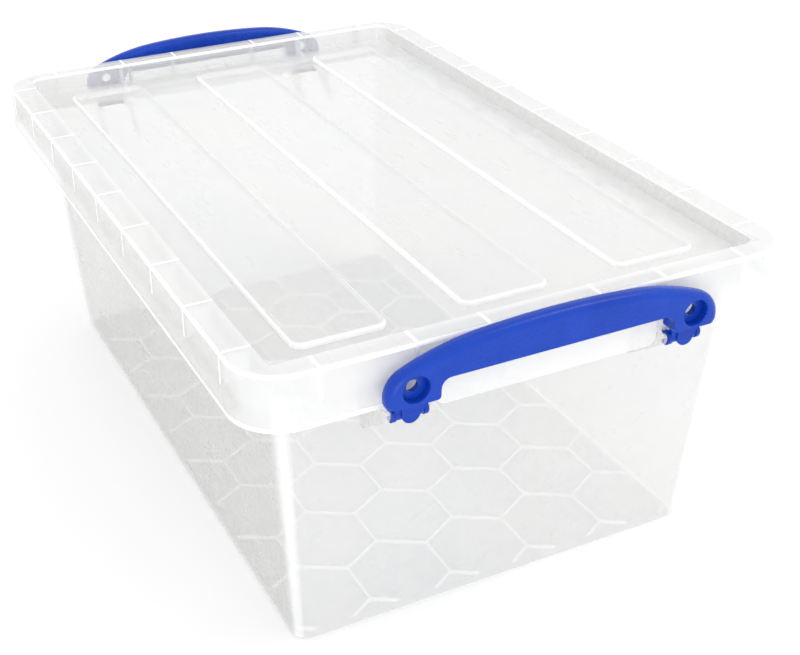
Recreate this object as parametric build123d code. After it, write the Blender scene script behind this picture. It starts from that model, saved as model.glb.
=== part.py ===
from build123d import *

import math
import os

# Under bed storage box: a tapered clear tub, a lift-off lid and two swing handles.
# Millimetres. +Z up, Y along the length, X across the width.
# The origin is on the floor, at the centre of the tub's base.

# ---- overall -------------------------------------------------------------------------
LENGTH = 600.0          # lid, along Y
WIDTH = 400.0           # lid, along X
HEIGHT = 240.0          # floor to the lid's top rim
EPS = 1.0               # how far a cutting or joining body runs past the face it meets
SEAM = 0.05             # gap between two parts that sit one inside the other

# ---- tub -----------------------------------------------------------------------------
BASE_HALF_X = 160.2     # outside of the walls at the floor
BASE_HALF_Y = 257.55
WALL_DRAFT_X = 0.0691   # outward run of a side wall per mm of height
WALL_DRAFT_Y = 0.0851   # the same for an end wall
BASE_CORNER = 12.0      # plan radius at the floor
CORNER_GROWTH = 0.04    # gain in plan radius per mm of height
TUB_WALL = 2.2
TUB_FLOOR = 2.8
FLOOR_INSET = 5.2       # the floor plate ends this far inside the walls' outside
BASE_EDGE_RADIUS = 4.5
RIM_TOP = 218.5         # top face of the tub's rim flange
FLANGE_THICK = 2.2
FLANGE_HALF_X = 194.5
FLANGE_HALF_Y = 294.5
FLANGE_CORNER = 27.0
LIP_BOTTOM = 206.0      # the flange's rim is turned down to here
LIP_THICK = 2.0
LIP_EDGE_RADIUS = 1.4
GUSSET_THICK = 1.4      # ribs between the wall and the turned-down lip
SIDE_GUSSETS_Y = (32.0, 96.0, 160.0, 224.0)
END_GUSSETS_X = (20.0, 65.0, 140.0)

# ---- honeycomb ribs on the tub floor ---------------------------------------------------
HEX_SIDE = 37.33
HEX_RIB = 1.6
HEX_RIB_HEIGHT = 2.6
HEX_ROWS = 5            # rows each side of the middle one
HEX_COLUMNS = 3         # columns each side of the middle one

# ---- lid -----------------------------------------------------------------------------
SKIRT_BOTTOM = 202.0
SKIRT_WALL = 2.0
SKIRT_DRAFT = 1.3       # inset of the skirt at the top
LID_CORNER = 34.0       # plan radius of the skirt
LID_TOP_RADIUS = 3.0
BEAD_HEIGHT = 3.6       # thicker band along the bottom of the skirt
BEAD_STEP = 0.6
LID_PLATE = 2.0
WELL_HALF_X = 178.5     # recess in the top
WELL_HALF_Y = 282.7
WELL_CORNER = 13.0
WELL_FLOOR = 226.0
PANEL_TOP = 230.0       # three raised panels on the well's floor
PANEL_HALF_WIDTH = 32.8
PANEL_PITCH = 117.6
PANEL_HALF_LENGTH = 253.0
PANEL_CORNER = 8.0
PANEL_EDGE_RADIUS = 3.0
RIB_THICK = 1.5         # ribs across the hollow rim of the lid
RIB_BOTTOM = 218.6
SIDE_RIBS_Y = (0.0, 64.0, 128.0, 192.0, 256.0)
END_RIBS_X = (40.0, 90.0, 153.0)
PAD_HALF_X = 80.5       # pad on each end of the skirt, between a handle's legs
PAD_FACE_Y = 305.5
PAD_BOTTOM = 196.7
PAD_TOP = 232.0
PAD_WALL = 2.0
PAD_ROOT = 3.4          # how far the pad reaches into the skirt's window
PAD_CORNER = 7.0
PAD_EDGE_RADIUS = 1.2

# ---- handle pivots on the tub ----------------------------------------------------------
PIVOT_Y = 305.0         # distance of the pivot axis from the middle of the box
PIVOT_Z = 199.5
PIVOT_X = 100.3         # middle of each pivot bar
BAR_RADIUS = 2.5
EAR_THICK = 2.5
EAR_GAP = 1.3           # side clearance between an ear and the handle's clip
EAR_BOSS_RADIUS = 3.9
EAR_TOP = 201.4
EAR_FOOT_Z = 172.0
EAR_ROOT_Y = 273.4      # inside the end wall

# ---- handle ----------------------------------------------------------------------------
HANDLE_BACK_Y = 306.0
HANDLE_FRONT_Y = 318.0
CROWN_TOP = 248.3
CROWN_RADIUS = 640.0
CROWN_ANGLE = 4.93      # degrees from upright where the shoulder takes over
SHOULDER_RADIUS = 170.0
SHOULDER_ANGLE = 23.4
END_RADIUS = 19.1
END_ANGLE = 96.0
HEEL_RADIUS = 7.0
GRIP_BOTTOM = 223.4
LEG_BOTTOM = 210.0
LEG_INNER_X = 84.3
ARMPIT_RADIUS = 7.0
TOE_RADIUS = 2.5
FRONT_ROUND = 5.6
BACK_ROUND = 4.6
LUG_X = 100.6           # through hole and counterbore in each lug
LUG_Z = 220.5
LUG_HOLE_RADIUS = 4.1
COUNTERBORE_RADIUS = 9.0
COUNTERBORE_DEPTH = 6.0
COUNTERBORE_EDGE = 1.2
LUG_RELIEF_RADIUS = 6.0  # hollow behind each lug, which leaves a thin web around the hole
LUG_WEB = 2.0
CORE_INSET = 5.0        # cored-out back of the grip
CORE_TOP = 237.0
CORE_DEPTH = 7.5
CORE_HALF_X = 78.0
CORE_RIB = 1.6
CORE_RIB_PITCH = 19.0
CORE_RIBS = 3           # ribs each side of the middle one
CLIP_HALF_X = 12.2
CLIP_BORE_RADIUS = 2.57
CLIP_RADIUS = 4.3
CLIP_COLLAR_RADIUS = 5.0
CLIP_COLLAR_WIDTH = 2.6
CLIP_MOUTH = 80.0       # degrees of the clip left open, behind the bar
CLIP_MOUTH_AIM = -5.0   # degrees from level, towards the box
NECK_HALF_X = 10.5
NECK_FRONT_Y = 309.3
TONGUE_RADIUS = 6.3
TONGUE_THICK = 2.0
TONGUE_FRONT_Y = 310.3
TONGUE_BOTTOM = 193.5


def plate(half_x, half_y, radius, z_low, z_high):
    """Level slab with rounded plan corners."""
    return Pos(0, 0, z_low) * extrude(RectangleRounded(2 * half_x, 2 * half_y, radius), z_high - z_low)


def tapered(low, high):
    """Solid between two rounded rectangles, each (half_x, half_y, radius, z)."""
    sections = []
    for half_x, half_y, radius, z in (low, high):
        sections.append(Pos(0, 0, z) * RectangleRounded(2 * half_x, 2 * half_y, radius))
    return loft(sections)


def block(x_low, x_high, y_low, y_high, z_low, z_high):
    """Box between two corners."""
    size = (x_high - x_low, y_high - y_low, z_high - z_low)
    middle = ((x_high + x_low) / 2, (y_high + y_low) / 2, (z_high + z_low) / 2)
    return Pos(*middle) * Box(*size)


def both_ends(part):
    """The part at the -Y end and its copy turned to the +Y end."""
    return [part, Rot(0, 0, 180) * part]


# ---- tub -------------------------------------------------------------------------------

def tub_section(z, inset):
    """Rounded rectangle of the tub's wall at height z, inset from its outside."""
    half_x = BASE_HALF_X + WALL_DRAFT_X * z - inset
    half_y = BASE_HALF_Y + WALL_DRAFT_Y * z - inset
    return half_x, half_y, BASE_CORNER + CORNER_GROWTH * z - inset, z


def tub_shell():
    """Tapered walls and floor, rounded along the base."""
    outside = tapered(tub_section(0, 0), tub_section(RIM_TOP, 0))
    outside = fillet(outside.faces().sort_by(Axis.Z)[0].edges(), BASE_EDGE_RADIUS)
    inside = tapered(tub_section(TUB_FLOOR, TUB_WALL), tub_section(RIM_TOP + EPS, TUB_WALL))
    return outside - inside


def tub_rim():
    """Flange around the mouth with its edge turned down."""
    outer = plate(FLANGE_HALF_X, FLANGE_HALF_Y, FLANGE_CORNER, LIP_BOTTOM, RIM_TOP)
    outer = fillet(outer.faces().sort_by(Axis.Z)[-1].edges(), LIP_EDGE_RADIUS)
    channel = plate(FLANGE_HALF_X - LIP_THICK, FLANGE_HALF_Y - LIP_THICK, FLANGE_CORNER - LIP_THICK,
                    LIP_BOTTOM - EPS, RIM_TOP - FLANGE_THICK)
    mouth = tapered(tub_section(LIP_BOTTOM - EPS, TUB_WALL), tub_section(RIM_TOP + EPS, TUB_WALL))
    return outer - channel - mouth


def rim_gussets():
    """Thin ribs that tie the turned-down lip to the wall."""
    half = GUSSET_THICK / 2
    low = LIP_BOTTOM + EPS
    high = RIM_TOP - FLANGE_THICK / 2
    wall_x = tub_section(low, TUB_WALL / 2)[0]
    wall_y = tub_section(low, TUB_WALL / 2)[1]
    lip_x = FLANGE_HALF_X - LIP_THICK / 2
    lip_y = FLANGE_HALF_Y - LIP_THICK / 2
    gussets = []
    for side in (-1, 1):
        for turn in (-1, 1):
            for y in SIDE_GUSSETS_Y:
                x_pair = sorted((side * wall_x, side * lip_x))
                gussets.append(block(*x_pair, turn * y - half, turn * y + half, low, high))
            for x in END_GUSSETS_X:
                y_pair = sorted((side * wall_y, side * lip_y))
                gussets.append(block(turn * x - half, turn * x + half, *y_pair, low, high))
    return gussets


def floor_plate(grow, z_low, z_high):
    """Flat middle of the tub's floor, larger all round by grow."""
    inset = FLOOR_INSET - grow
    return plate(BASE_HALF_X - inset, BASE_HALF_Y - inset, BASE_CORNER - inset, z_low, z_high)


def tub_floor():
    """Floor plate with a network of low ribs, left between rows of hexagons."""
    cell = Rot(0, 0, 90) * RegularPolygon(HEX_SIDE - HEX_RIB / math.sqrt(3), 6)
    pitch = HEX_SIDE * math.sqrt(3)
    cells = []
    for row in range(-HEX_ROWS, HEX_ROWS + 1):
        for column in range(-HEX_COLUMNS, HEX_COLUMNS + 1):
            x = (column + 0.5 * (row % 2)) * pitch
            cells.append(Pos(x, 1.5 * HEX_SIDE * row, TUB_FLOOR) * cell)
    hollows = extrude(Sketch() + cells, HEX_RIB_HEIGHT + EPS)
    return floor_plate(0, 0, TUB_FLOOR + HEX_RIB_HEIGHT) - hollows


def pivot_bracket(x_middle):
    """Two ears and the round bar between them, under the rim at the -Y end."""
    inner = CLIP_HALF_X + EAR_GAP
    ear_side = make_face(Polyline(
        (-EAR_ROOT_Y, EAR_TOP),
        (-PIVOT_Y, EAR_TOP),
        (-PIVOT_Y - EAR_BOSS_RADIUS / 2, PIVOT_Z - EAR_BOSS_RADIUS * math.sqrt(3) / 2),
        (-EAR_ROOT_Y, EAR_FOOT_Z),
        (-EAR_ROOT_Y, EAR_TOP),
    ))
    ear_side = ear_side + Pos(-PIVOT_Y, PIVOT_Z) * Circle(EAR_BOSS_RADIUS)
    ear = extrude(Plane.YZ * ear_side, EAR_THICK)
    ears = [Pos(x_middle + inner, 0, 0) * ear, Pos(x_middle - inner - EAR_THICK, 0, 0) * ear]
    bar = Pos(x_middle, -PIVOT_Y, PIVOT_Z) * Rot(0, 90, 0) * Cylinder(BAR_RADIUS, 2 * (inner + EPS))
    return ears + [bar]


def tub():
    brackets = pivot_bracket(PIVOT_X) + pivot_bracket(-PIVOT_X)
    pieces = [tub_rim()] + rim_gussets()
    for piece in brackets:
        pieces += both_ends(piece)
    return tub_shell() + pieces - floor_plate(SEAM, -EPS, TUB_FLOOR + EPS)


# ---- lid -------------------------------------------------------------------------------

def lid_half(z, inset):
    """Half sizes and corner radius of the skirt at height z, inset from its outside."""
    draft = SKIRT_DRAFT * (z - SKIRT_BOTTOM) / (HEIGHT - SKIRT_BOTTOM) + inset
    return WIDTH / 2 - draft, LENGTH / 2 - draft, LID_CORNER - inset, z


def pad_block(grow):
    """Upright pad outline with its lower corners rounded, larger all round by grow."""
    low = PAD_BOTTOM - grow
    high = PAD_TOP + grow
    outline = Pos(0, (low + high) / 2) * Rectangle(2 * (PAD_HALF_X + grow), high - low)
    back_y = LENGTH / 2 - PAD_ROOT - grow
    body = extrude(Plane.XZ.offset(back_y) * outline, PAD_FACE_Y - back_y)
    lower = body.edges().filter_by(Axis.Y).sort_by(Axis.Z)[:2]
    return fillet(lower, PAD_CORNER + grow)


def pad():
    """Pad that stands out of the skirt at the -Y end, open downwards and inwards."""
    body = pad_block(0)
    body = fillet(body.faces().sort_by(Axis.Y)[0].edges(), PAD_EDGE_RADIUS)
    inner_x = PAD_HALF_X - PAD_WALL
    return body - block(-inner_x, inner_x, -(PAD_FACE_Y - PAD_WALL), -(LENGTH / 2 - PAD_ROOT - EPS),
                        PAD_BOTTOM - EPS, PAD_TOP - PAD_WALL)


def lid_shell():
    """Skirt, rim and recessed floor as one thin wall."""
    outside = tapered(lid_half(SKIRT_BOTTOM, BEAD_STEP), lid_half(HEIGHT, 0))
    outside = fillet(outside.faces().sort_by(Axis.Z)[-1].edges(), LID_TOP_RADIUS)
    bead_top = SKIRT_BOTTOM + BEAD_HEIGHT
    outside += tapered(lid_half(SKIRT_BOTTOM, 0), lid_half(bead_top, 0))
    hollow = tapered(lid_half(SKIRT_BOTTOM - EPS, SKIRT_WALL), lid_half(HEIGHT - LID_PLATE, SKIRT_WALL))
    well_wall = plate(WELL_HALF_X + LID_PLATE, WELL_HALF_Y + LID_PLATE, WELL_CORNER + LID_PLATE,
                      WELL_FLOOR - LID_PLATE, HEIGHT - LID_PLATE / 2)
    well = tapered((WELL_HALF_X - EPS, WELL_HALF_Y - EPS, WELL_CORNER - EPS, WELL_FLOOR),
                   (WELL_HALF_X, WELL_HALF_Y, WELL_CORNER, HEIGHT + EPS))
    return (outside - hollow) + well_wall - well


def lid_ribs():
    """Ribs across the hollow rim, from its underside to the tub's flange."""
    half = RIB_THICK / 2
    high = HEIGHT - LID_PLATE / 2
    well_x = WELL_HALF_X + LID_PLATE / 2
    well_y = WELL_HALF_Y + LID_PLATE / 2
    skirt_x, skirt_y, _, _ = lid_half(HEIGHT, SKIRT_WALL / 2)
    ribs = []
    for side in (-1, 1):
        x_pair = sorted((side * well_x, side * skirt_x))
        y_pair = sorted((side * well_y, side * skirt_y))
        for y in sorted({turn * y for y in SIDE_RIBS_Y for turn in (-1, 1)}):
            ribs.append(block(*x_pair, y - half, y + half, RIB_BOTTOM, high))
        for x in sorted({turn * x for x in END_RIBS_X for turn in (-1, 1)}):
            ribs.append(block(x - half, x + half, *y_pair, RIB_BOTTOM, high))
    return ribs


def panel(grow, z_low, z_high):
    """Raised panel, or with a negative grow the hollow under it."""
    return plate(PANEL_HALF_WIDTH + grow, PANEL_HALF_LENGTH + grow, PANEL_CORNER + grow, z_low, z_high)


def lid():
    raised = panel(0, WELL_FLOOR - EPS, PANEL_TOP)
    raised = fillet(raised.faces().sort_by(Axis.Z)[-1].edges(), PANEL_EDGE_RADIUS)
    hollow = panel(-LID_PLATE, WELL_FLOOR - LID_PLATE - EPS, PANEL_TOP - LID_PLATE)
    places = [Pos(column * PANEL_PITCH, 0, 0) for column in (-1, 0, 1)]
    body = lid_shell() + lid_ribs() + [place * raised for place in places]
    windows = both_ends(pad_block(SEAM))
    return body - ([place * hollow for place in places] + windows)


# ---- handle ----------------------------------------------------------------------------

def on_arc(centre, radius, angle):
    """Point at an angle in degrees from upright, towards +X, as (x, z)."""
    turn = math.radians(angle)
    return centre[0] + radius * math.sin(turn), centre[1] + radius * math.cos(turn)


def arc(centre, radius, start, end):
    """Arc between two such angles."""
    points = [on_arc(centre, radius, angle) for angle in (start, (start + end) / 2, end)]
    return ThreePointArc(*points)


def handle_outline():
    """Front view of the handle: arched crown, round lugs, straight grip."""
    crown = (0, CROWN_TOP - CROWN_RADIUS)
    shoulder = on_arc(crown, CROWN_RADIUS - SHOULDER_RADIUS, CROWN_ANGLE)
    end = on_arc(shoulder, SHOULDER_RADIUS - END_RADIUS, SHOULDER_ANGLE)
    heel = on_arc(end, END_RADIUS - HEEL_RADIUS, END_ANGLE)
    heel_angle = math.degrees(math.acos((LEG_BOTTOM - heel[1]) / HEEL_RADIUS))
    heel_end = on_arc(heel, HEEL_RADIUS, heel_angle)
    edges = [
        arc(crown, CROWN_RADIUS, 0, CROWN_ANGLE),
        arc(shoulder, SHOULDER_RADIUS, CROWN_ANGLE, SHOULDER_ANGLE),
        arc(end, END_RADIUS, SHOULDER_ANGLE, END_ANGLE),
        arc(heel, HEEL_RADIUS, END_ANGLE, heel_angle),
        Polyline(heel_end, (LEG_INNER_X, LEG_BOTTOM), (LEG_INNER_X, GRIP_BOTTOM),
                 (0, GRIP_BOTTOM), (0, CROWN_TOP)),
    ]
    half = make_face(edges)
    return half + mirror(half, about=Plane.YZ)


def grip():
    """Arched bar with both outer edges well rounded."""
    body = extrude(Plane.XZ.offset(HANDLE_BACK_Y) * handle_outline(), HANDLE_FRONT_Y - HANDLE_BACK_Y)
    for face_y, radius in ((-HANDLE_FRONT_Y, FRONT_ROUND), (-HANDLE_BACK_Y, BACK_ROUND)):
        outer = []
        for edge in body.edges():
            middle = edge @ 0.5
            on_face = abs(middle.Y - face_y) < EPS / 10
            if on_face and edge.geom_type == GeomType.CIRCLE:
                outer.append(edge)
        body = fillet(outer, radius)
    return body


def inner_corners(body):
    """Round the corners between the grip and its legs, and the legs' toes."""
    for height, radius in ((GRIP_BOTTOM, ARMPIT_RADIUS), (LEG_BOTTOM, TOE_RADIUS)):
        corners = []
        for edge in body.edges().filter_by(Axis.Y):
            middle = edge @ 0.5
            if abs(abs(middle.X) - LEG_INNER_X) < EPS and abs(middle.Z - height) < EPS:
                corners.append(edge)
        body = fillet(corners, radius)
    return body


def grip_core():
    """Hollows in the back of the grip, with upright ribs left between them."""
    inset = offset(handle_outline(), -CORE_INSET)
    window = Pos(0, (GRIP_BOTTOM + CORE_TOP) / 2) * Rectangle(2 * CORE_HALF_X, CORE_TOP - GRIP_BOTTOM)
    area = inset & window
    for index in range(-CORE_RIBS, CORE_RIBS + 1):
        rib = Pos(index * CORE_RIB_PITCH, CROWN_TOP - CORE_DEPTH) * Rectangle(CORE_RIB, 2 * END_RADIUS + CROWN_TOP)
        area = area - rib
    return extrude(Plane.XZ.offset(HANDLE_BACK_Y) * area, CORE_DEPTH)


def along_x(x_middle, radius, half_length):
    """Round bar on the front pivot axis."""
    return Pos(x_middle, -PIVOT_Y, PIVOT_Z) * Rot(0, 90, 0) * Cylinder(radius, 2 * half_length)


def clip(x_middle):
    """C-shaped clip around a pivot bar, with its neck and front tongue."""
    neck = block(x_middle - NECK_HALF_X, x_middle + NECK_HALF_X, -NECK_FRONT_Y, -HANDLE_BACK_Y,
                 PIVOT_Z, LEG_BOTTOM + EPS)
    tongue_middle = TONGUE_BOTTOM + TONGUE_RADIUS
    tongue_side = Pos(x_middle, tongue_middle) * Circle(TONGUE_RADIUS)
    tongue_top = LEG_BOTTOM + EPS
    tongue_side += Pos(x_middle, (tongue_middle + tongue_top) / 2) * Rectangle(
        2 * TONGUE_RADIUS, tongue_top - tongue_middle)
    tongue = extrude(Plane.XZ.offset(TONGUE_FRONT_Y - TONGUE_THICK) * tongue_side, TONGUE_THICK)
    shell = along_x(x_middle, CLIP_RADIUS, CLIP_HALF_X)
    collar_offset = CLIP_HALF_X - CLIP_COLLAR_WIDTH / 2
    for side in (-1, 1):
        shell += along_x(x_middle + side * collar_offset, CLIP_COLLAR_RADIUS, CLIP_COLLAR_WIDTH / 2)
    reach = 2 * CLIP_COLLAR_RADIUS
    spread = math.radians(CLIP_MOUTH / 2)
    aim = math.radians(CLIP_MOUTH_AIM)
    corners = [(-PIVOT_Y, PIVOT_Z)]
    for angle in (aim - spread, aim + spread):
        corners.append((-PIVOT_Y + reach * math.cos(angle), PIVOT_Z + reach * math.sin(angle)))
    corners.append(corners[0])
    mouth = Pos(x_middle - CLIP_HALF_X - EPS, 0, 0) * extrude(
        Plane.YZ * make_face(Polyline(*corners)), 2 * (CLIP_HALF_X + EPS))
    bore = along_x(x_middle, CLIP_BORE_RADIUS, CLIP_HALF_X + EPS)
    return (shell - mouth) + [neck, tongue] - bore


def lug_cut(x_middle):
    """Through hole, counterbore and rear relief of one lug."""
    depth = HANDLE_FRONT_Y - HANDLE_BACK_Y
    middle_y = -(HANDLE_FRONT_Y + HANDLE_BACK_Y) / 2
    hole = Pos(x_middle, middle_y, LUG_Z) * Rot(90, 0, 0) * Cylinder(LUG_HOLE_RADIUS, depth + 2 * EPS)
    bore_y = -HANDLE_FRONT_Y + (COUNTERBORE_DEPTH - EPS) / 2
    counterbore = Pos(x_middle, bore_y, LUG_Z) * Rot(90, 0, 0) * Cylinder(
        COUNTERBORE_RADIUS, COUNTERBORE_DEPTH + EPS)
    relief_depth = depth - COUNTERBORE_DEPTH - LUG_WEB
    relief_y = -HANDLE_BACK_Y - (relief_depth - EPS) / 2
    relief = Pos(x_middle, relief_y, LUG_Z) * Rot(90, 0, 0) * Cylinder(
        LUG_RELIEF_RADIUS, relief_depth + EPS)
    return [hole, counterbore, relief]


def front_handle():
    body = inner_corners(grip()) - grip_core()
    body -= lug_cut(LUG_X) + lug_cut(-LUG_X)
    rims = []
    for edge in body.edges().filter_by(GeomType.CIRCLE):
        at_front = abs(edge.arc_center.Y + HANDLE_FRONT_Y) < EPS / 10
        if at_front and abs(edge.radius - COUNTERBORE_RADIUS) < EPS / 10:
            rims.append(edge)
    body = fillet(rims, COUNTERBORE_EDGE)
    return body + clip(PIVOT_X) + clip(-PIVOT_X)


os.makedirs("parts", exist_ok=True)
handle_front, handle_rear = both_ends(front_handle())
pad_front, pad_rear = both_ends(pad())
nodes = {
    "tub": tub(),
    "tub_floor": tub_floor(),
    "lid": lid(),
    "lid_pad_front": pad_front,
    "lid_pad_rear": pad_rear,
    "handle_front": handle_front,
    "handle_rear": handle_rear,
}
for name, shape in nodes.items():
    export_step(shape, f"parts/{name}.step")
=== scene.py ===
"""Looks of the clear storage box: materials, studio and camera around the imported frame."""

import bpy
from mathutils import Matrix, Vector


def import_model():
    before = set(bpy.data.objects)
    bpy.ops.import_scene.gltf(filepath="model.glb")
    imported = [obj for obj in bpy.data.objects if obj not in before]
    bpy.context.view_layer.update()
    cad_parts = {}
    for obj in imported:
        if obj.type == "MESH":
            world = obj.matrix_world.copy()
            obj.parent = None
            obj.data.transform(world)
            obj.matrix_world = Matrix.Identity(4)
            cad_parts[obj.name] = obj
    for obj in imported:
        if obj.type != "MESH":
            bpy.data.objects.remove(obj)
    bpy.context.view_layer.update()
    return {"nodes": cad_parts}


# camera, in metres and the frame's axes; the picture is 800 x 655
CAMERA_AT = Vector((-0.4114, -0.9010, 0.6345))
CAMERA_TO = Vector((0.5069, 1.0140, -0.5708))
CAMERA_ROLL = 0.016
CAMERA_LENS = 60.36
CAMERA_SHIFT = (0.0404, 0.0061)

TRANSPARENT_BOUNCES = 48
WORLD_STRENGTH = 1.10

# clear plastic: colour of flat walls and of edges, and how opaque each is, from 0 to 1; the edges' white
# is a painted highlight
FACE_COOL = (0.77, 0.78, 0.79)
FACE_WARM = (0.80, 0.795, 0.78)
EDGE_HIGHLIGHT_WHITE = (0.96, 0.96, 0.96)
# darker beige of the long sides: painted shade over their real grain
PEBBLE_SHADE = (0.50, 0.485, 0.45)
FACE_MILK = 0.44
MILK_DRIFT = 0.02        # how far the cloudiness of a flat wall drifts
EDGE_MILK = 0.50
RIM_HIGHLIGHT = 0.22         # how far the rim and the tub's floor go towards the edges' painted highlight white
# painted light: the tub floor's lift out of the shade it sits in
FLOOR_LIGHT_LIFT = 0.40
# painted highlights on the bead, flange, pad and upright corners
BEAD_HIGHLIGHT = 0.7
FLANGE_HIGHLIGHT = 0.6
PAD_HIGHLIGHT_LOW = 0.28
PAD_HIGHLIGHT_TOP = 0.12
CORNER_HIGHLIGHT = 0.5
TUB_PEBBLE_SHADE = 0.75        # strength of the painted shade that darkens the long sides' grain
LID_PEBBLE_SHADE = 0.55
PEBBLE_SHADE_FLOOR = 0.3       # the painted shade's weakest part, as a share of its strength
PEBBLE_HEIGHT = 6.0      # the long sides' grain depth, as a multiple of the fine grain's

# blue plastic and studio floor: darkest and palest colour of each
BLUE_DEEP = (0.002, 0.038, 0.36)
BLUE_PALE = (0.005, 0.052, 0.43)
STUDIO_GREY = (0.93, 0.93, 0.93)
STUDIO_WHITE = (0.95, 0.95, 0.95)

# places on the box, in metres from the frame's origin; x and y count both ways
SOFT_LINE = 0.0004       # half the width over which a mask fades
RIB_HALF = 0.0013
RIB_BOTTOM = 0.2186
SIDE_RIB_PITCH = 0.064
END_RIBS_X = (0.040, 0.090, 0.153)
PANELS_X = 0.1700        # the raised panels lie inside these
PANELS_Y = 0.2720
PANEL_FOOT = 0.2258
RIM_TURN = 0.2372        # the rim's top corners start here
WELL_X = 0.1788          # the lid's recess ends here
WELL_Y = 0.2830
SIDE_LINES_X = 0.1785
SIDE_LINES_Y = 0.27
SIDE_RIBS_Y = 0.2808
END_RIBS_OUTER_X = 0.1768
END_RIBS_Y = 0.2845
BEAD_TOP = 0.2056
PAD_FADE_Z = (0.200, 0.232)
FLANGE_BOTTOM = 0.2162
CORNER_TOP = 0.203
HONEYCOMB_FOOT = 0.0031
HONEYCOMB_TOP = 0.0050
HONEYCOMB_SOFT = 0.0001

# size of a part of the surface's normal: 1 faces straight along that axis
STRAIGHT = 0.9
UPRIGHT = (0.80, 0.99)
CORNER_TURN = (0.38, 0.49)
STRAIGHT_SOFT = 0.05
BORDER_SOFT = 0.1
SLOPE = 0.7
LONG_SIDE = 0.93
LONG_SIDE_SOFT = 0.04

FLOOR_REACH = 8.0
FLOOR_DROP = 0.0005
LAMP_AIM = Vector((0.0, 0.0, 0.12))
LAMPS = (
    # name, place, size, watts, colour
    ("key", (0.9, -0.7, 1.6), 0.4, 4.0, (1.0, 1.0, 1.0)),
    ("front_left", (-1.0, -2.5, 0.5), 1.6, 20.0, (0.98, 0.99, 1.0)),
)


class Graph:
    """A material's node tree, with short ways to add and join nodes."""

    def __init__(self, name):
        self.material = bpy.data.materials.new(name)
        self.material.use_nodes = True
        self.tree = self.material.node_tree
        self.tree.nodes.clear()

    def add(self, kind, **settings):
        node = self.tree.nodes.new(kind)
        for key, value in settings.items():
            setattr(node, key, value)
        return node

    def join(self, source, target):
        self.tree.links.new(source, target)

    def where(self):
        """The point on the piece, in metres from the frame's origin."""
        return self.add("ShaderNodeTexCoord").outputs["Object"]

    def noise(self, scale, detail=2.0, roughness=0.5, stretch=None):
        node = self.add("ShaderNodeTexNoise")
        node.inputs["Scale"].default_value = scale
        node.inputs["Detail"].default_value = detail
        node.inputs["Roughness"].default_value = roughness
        place = self.where()
        if stretch is not None:
            mapping = self.add("ShaderNodeMapping")
            mapping.inputs["Scale"].default_value = stretch
            self.join(place, mapping.inputs["Vector"])
            place = mapping.outputs["Vector"]
        self.join(place, node.inputs["Vector"])
        return node.outputs["Fac"]

    def spread(self, source, low, high, start=0.3, end=0.7):
        """The source from start to end, as a number from low to high."""
        node = self.add("ShaderNodeMapRange")
        node.inputs["From Min"].default_value = start
        node.inputs["From Max"].default_value = end
        node.inputs["To Min"].default_value = low
        node.inputs["To Max"].default_value = high
        self.join(source, node.inputs["Value"])
        return node.outputs["Result"]

    def maths(self, operation, a, b):
        node = self.add("ShaderNodeMath", operation=operation)
        for socket, value in zip(node.inputs, (a, b)):
            if isinstance(value, (int, float)):
                socket.default_value = value
            else:
                self.join(value, socket)
        return node.outputs["Value"]

    def blend(self, factor, first, second):
        """Colour from the first to the second, both plain colours."""
        node = self.add("ShaderNodeMix", data_type="RGBA")
        node.inputs[6].default_value = (*first, 1.0)
        node.inputs[7].default_value = (*second, 1.0)
        self.join(factor, node.inputs[0])
        return node.outputs[2]

    def mix(self, factor, first, second):
        """Colour from the first source to the second, a plain colour."""
        node = self.add("ShaderNodeMix", data_type="RGBA")
        self.join(first, node.inputs[6])
        node.inputs[7].default_value = (*second, 1.0)
        self.join(factor, node.inputs[0])
        return node.outputs[2]

    def fold(self, operation, sources):
        total = sources[0]
        for source in sources[1:]:
            total = self.maths(operation, total, source)
        return total

    def product(self, *sources):
        return self.fold("MULTIPLY", sources)

    def highest(self, *sources):
        return self.fold("MAXIMUM", sources)

    def parts(self, output):
        """Sizes of x, y and z, without their signs."""
        split = self.add("ShaderNodeSeparateXYZ")
        self.join(self.add("ShaderNodeTexCoord").outputs[output], split.inputs["Vector"])
        return [self.maths("ABSOLUTE", socket, 0.0) for socket in split.outputs]

    def place(self):
        return self.parts("Object")

    def facing(self):
        return self.parts("Normal")

    def above(self, source, limit, soft=SOFT_LINE):
        """1 where the source is over the limit and 0 where it is under, with a soft change."""
        return self.spread(source, 0.0, 1.0, limit - soft, limit + soft)

    def below(self, source, limit, soft=SOFT_LINE):
        """1 where the source is under the limit and 0 where it is over, with a soft change."""
        return self.spread(source, 1.0, 0.0, limit - soft, limit + soft)

    def line(self, source, place):
        """A soft line, as wide as a rib, where the source is at place."""
        off = self.maths("ABSOLUTE", self.maths("SUBTRACT", source, place), 0.0)
        return self.below(off, RIB_HALF)

    def bump(self, height, strength, distance):
        node = self.add("ShaderNodeBump")
        node.inputs["Strength"].default_value = strength
        node.inputs["Distance"].default_value = distance
        self.join(height, node.inputs["Height"])
        return node.outputs["Normal"]

    def entering(self):
        """1 on the face by which a ray goes into a wall, so a wall clouds a ray once."""
        behind = self.add("ShaderNodeNewGeometry").outputs["Backfacing"]
        return self.maths("SUBTRACT", 1.0, behind)

    def principled(self):
        shader = self.add("ShaderNodeBsdfPrincipled")
        out = self.add("ShaderNodeOutputMaterial")
        self.join(shader.outputs["BSDF"], out.inputs["Surface"])
        return shader


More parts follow.
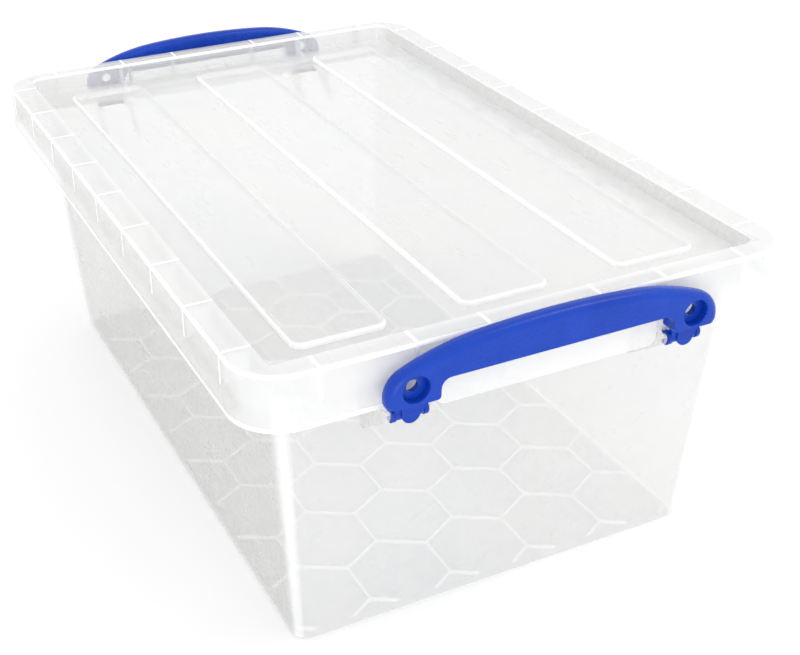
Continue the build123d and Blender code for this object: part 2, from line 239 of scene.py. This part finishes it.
def clear_plastic(name, highlit_edges, pebble_shade=0.0):
    """Milky see-through polypropylene, denser where the edge mask says the section is thick, and whiter
    there as a painted highlight.

    The third argument is how strongly the long sides' coarser grain is darkened with painted shade.
    """
    g = Graph(name)
    shader = g.principled()
    cloud = g.noise(9.0, 3.0, 0.55)
    grain = g.noise(1300.0, 2.0, 0.6)
    scuff = g.noise(55.0, 6.0, 0.7, (1.0, 0.25, 1.0))
    highlit_edge = highlit_edges(g)
    body = g.blend(g.spread(cloud, 0.0, 1.0), FACE_COOL, FACE_WARM)
    height = grain
    if pebble_shade:
        long_side = g.above(g.facing()[0], LONG_SIDE, LONG_SIDE_SOFT)
        pebble = g.noise(330.0, 2.0, 0.55)
        # the long sides' real grain, laid over a darker beige tone that is painted shade
        body = g.mix(g.product(long_side, g.spread(pebble, PEBBLE_SHADE_FLOOR * pebble_shade, pebble_shade)), body, PEBBLE_SHADE)
        height = g.maths("ADD", grain, g.product(long_side, pebble, PEBBLE_HEIGHT))
    # edges go towards white as a painted highlight
    g.join(g.mix(highlit_edge, body, EDGE_HIGHLIGHT_WHITE), shader.inputs["Base Color"])
    milk = g.spread(cloud, FACE_MILK - MILK_DRIFT, FACE_MILK + MILK_DRIFT)
    dense = g.maths("ADD", milk, g.maths("MULTIPLY", highlit_edge, EDGE_MILK))
    g.join(g.maths("MULTIPLY", dense, g.entering()), shader.inputs["Alpha"])
    g.join(g.spread(scuff, 0.22, 0.42), shader.inputs["Roughness"])
    g.join(g.bump(height, 0.08, 0.0001), shader.inputs["Normal"])
    shader.inputs["IOR"].default_value = 1.49
    shader.inputs["Specular IOR Level"].default_value = 0.28
    return g.material


def lid_highlit_edges(g):
    """Where the lid's wall turns or meets a rib: panel outlines, rim corners, ribs and bead; these and the
    rim get a painted highlight.
    """
    x, y, z = g.place()
    across, along, level = g.facing()
    upright = g.spread(level, 1.0, 0.0, *UPRIGHT)
    on_panels = g.product(g.below(x, PANELS_X), g.below(y, PANELS_Y))
    steps = g.product(upright, on_panels, g.above(z, PANEL_FOOT))
    rim = g.product(upright, g.above(z, RIM_TURN))
    side_ribs = g.product(g.above(along, STRAIGHT, STRAIGHT_SOFT), g.below(y, SIDE_RIBS_Y))
    end_ribs = g.product(g.above(across, STRAIGHT, STRAIGHT_SOFT), g.below(x, END_RIBS_OUTER_X),
                         g.above(y, END_RIBS_Y))
    side_lines = g.product(g.line(g.maths("PINGPONG", y, SIDE_RIB_PITCH / 2), 0.0),
                           g.below(y, SIDE_LINES_Y))
    end_lines = g.product(g.highest(*[g.line(x, place) for place in END_RIBS_X]), g.above(y, WELL_Y))
    side_lines = g.product(side_lines, g.above(x, SIDE_LINES_X))
    lines = g.product(g.highest(side_lines, end_lines), g.above(z, RIB_BOTTOM))
    bead = g.maths("MULTIPLY", g.below(z, BEAD_TOP), BEAD_HIGHLIGHT)
    outside_well = g.highest(g.above(x, WELL_X), g.above(y, WELL_Y))
    rim_body = g.maths("MULTIPLY", outside_well, RIM_HIGHLIGHT)
    return g.highest(steps, rim, side_ribs, end_ribs, lines, bead, rim_body)


def pad_highlit_edges(g):
    """The pad's painted highlight is strongest along its borders, and a little stronger low down than at
    its top.
    """
    z = g.place()[2]
    along = g.facing()[1]
    border = g.below(along, STRAIGHT, BORDER_SOFT)
    return g.highest(border, g.spread(z, PAD_HIGHLIGHT_LOW, PAD_HIGHLIGHT_TOP, *PAD_FADE_Z))


def tub_highlit_edges(g):
    """Painted highlights on the flange and the upright corners of the tub."""
    z = g.place()[2]
    across, along, _ = g.facing()
    flange = g.maths("MULTIPLY", g.above(z, FLANGE_BOTTOM), FLANGE_HIGHLIGHT)
    corners = g.spread(g.maths("MULTIPLY", across, along), 0.0, CORNER_HIGHLIGHT, *CORNER_TURN)
    return g.highest(flange, g.product(corners, g.below(z, CORNER_TOP)))


def floor_highlit_ribs_and_lift(g):
    """Ribs of the honeycomb with a painted highlight, on a floor thicker than the walls and lifted overall
    with painted light against the shade under the box.
    """
    z = g.place()[2]
    level = g.facing()[2]
    ribs = g.highest(g.below(level, SLOPE, BORDER_SOFT), g.above(z, HONEYCOMB_TOP))
    return g.highest(g.product(ribs, g.above(z, HONEYCOMB_FOOT, HONEYCOMB_SOFT)), FLOOR_LIGHT_LIFT)


def blue_plastic():
    """Moulded royal blue plastic with a fine spark-eroded grain."""
    g = Graph("blue_moulded_plastic")
    shader = g.principled()
    cloud = g.noise(30.0, 3.0, 0.5)
    grain = g.noise(950.0, 2.0, 0.6)
    swirl = g.noise(120.0, 4.0, 0.6, (1.0, 1.0, 2.5))
    colour = g.blend(g.spread(cloud, 0.0, 1.0), BLUE_DEEP, BLUE_PALE)
    g.join(colour, shader.inputs["Base Color"])
    g.join(g.spread(swirl, 0.24, 0.33), shader.inputs["Roughness"])
    g.join(g.bump(grain, 0.5, 0.0002), shader.inputs["Normal"])
    shader.inputs["IOR"].default_value = 1.48
    shader.inputs["Specular IOR Level"].default_value = 0.26
    return g.material


def floor_paint():
    """Pale matt studio floor with a faint tooth."""
    g = Graph("studio_floor")
    shader = g.principled()
    cloud = g.noise(1.5, 3.0, 0.5)
    tooth = g.noise(400.0, 3.0, 0.6)
    colour = g.blend(g.spread(cloud, 0.0, 1.0), STUDIO_GREY, STUDIO_WHITE)
    g.join(colour, shader.inputs["Base Color"])
    g.join(g.spread(cloud, 0.75, 0.85), shader.inputs["Roughness"])
    g.join(g.bump(tooth, 0.1, 0.0003), shader.inputs["Normal"])
    return g.material


def dress(node, material):
    """Gives a CAD node one material in every slot."""
    slots = node.material_slots
    if not slots:
        node.data.materials.append(material)
    for slot in slots:
        slot.material = material


def studio_floor():
    reach = FLOOR_REACH
    mesh = bpy.data.meshes.new("floor")
    corners = [(-reach, -reach, 0.0), (reach, -reach, 0.0), (reach, reach, 0.0), (-reach, reach, 0.0)]
    mesh.from_pydata(corners, [], [(0, 1, 2, 3)])
    floor = bpy.data.objects.new("floor", mesh)
    floor.location.z = -FLOOR_DROP
    bpy.context.scene.collection.objects.link(floor)
    mesh.materials.append(floor_paint())


def softbox(name, at, size, power, colour):
    """A square area lamp at a point, facing the middle of the box."""
    lamp = bpy.data.lights.new(name, "AREA")
    lamp.shape = "SQUARE"
    lamp.size = size
    lamp.energy = power
    lamp.color = colour
    obj = bpy.data.objects.new(name, lamp)
    obj.location = at
    aim = LAMP_AIM - Vector(at)
    obj.rotation_euler = aim.to_track_quat("-Z", "Y").to_euler()
    bpy.context.scene.collection.objects.link(obj)


def studio_light():
    world = bpy.data.worlds.new("studio")
    world.use_nodes = True
    back = world.node_tree.nodes["Background"]
    back.inputs["Color"].default_value = (1.0, 1.0, 1.0, 1.0)
    back.inputs["Strength"].default_value = WORLD_STRENGTH
    bpy.context.scene.world = world
    for lamp in LAMPS:
        softbox(*lamp)


def studio_camera():
    view = (CAMERA_TO - CAMERA_AT).normalized()
    right = view.cross(Vector((0.0, 0.0, 1.0))).normalized()
    down = view.cross(right)
    roll = Matrix.Rotation(CAMERA_ROLL, 3, view)
    right = roll @ right
    down = roll @ down
    turn = Matrix((right, -down, -view)).transposed()
    data = bpy.data.cameras.new("camera")
    data.lens = CAMERA_LENS
    data.shift_x, data.shift_y = CAMERA_SHIFT
    data.clip_start = 0.01
    camera = bpy.data.objects.new("camera", data)
    camera.matrix_world = Matrix.Translation(CAMERA_AT) @ turn.to_4x4()
    bpy.context.scene.collection.objects.link(camera)
    bpy.context.scene.camera = camera


def main():
    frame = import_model()
    nodes = frame["nodes"]
    pads = clear_plastic("clear_pad", pad_highlit_edges)
    blue = blue_plastic()
    dress(nodes["tub"], clear_plastic("clear_tub", tub_highlit_edges, TUB_PEBBLE_SHADE))
    dress(nodes["tub_floor"], clear_plastic("clear_floor", floor_highlit_ribs_and_lift))
    dress(nodes["lid"], clear_plastic("clear_lid", lid_highlit_edges, LID_PEBBLE_SHADE))
    for end in ("front", "rear"):
        dress(nodes[f"lid_pad_{end}"], pads)
        dress(nodes[f"handle_{end}"], blue)
    studio_floor()
    studio_light()
    studio_camera()
    scene = bpy.context.scene
    scene.view_settings.view_transform = "Standard"
    scene.cycles.transparent_max_bounces = TRANSPARENT_BOUNCES


main()
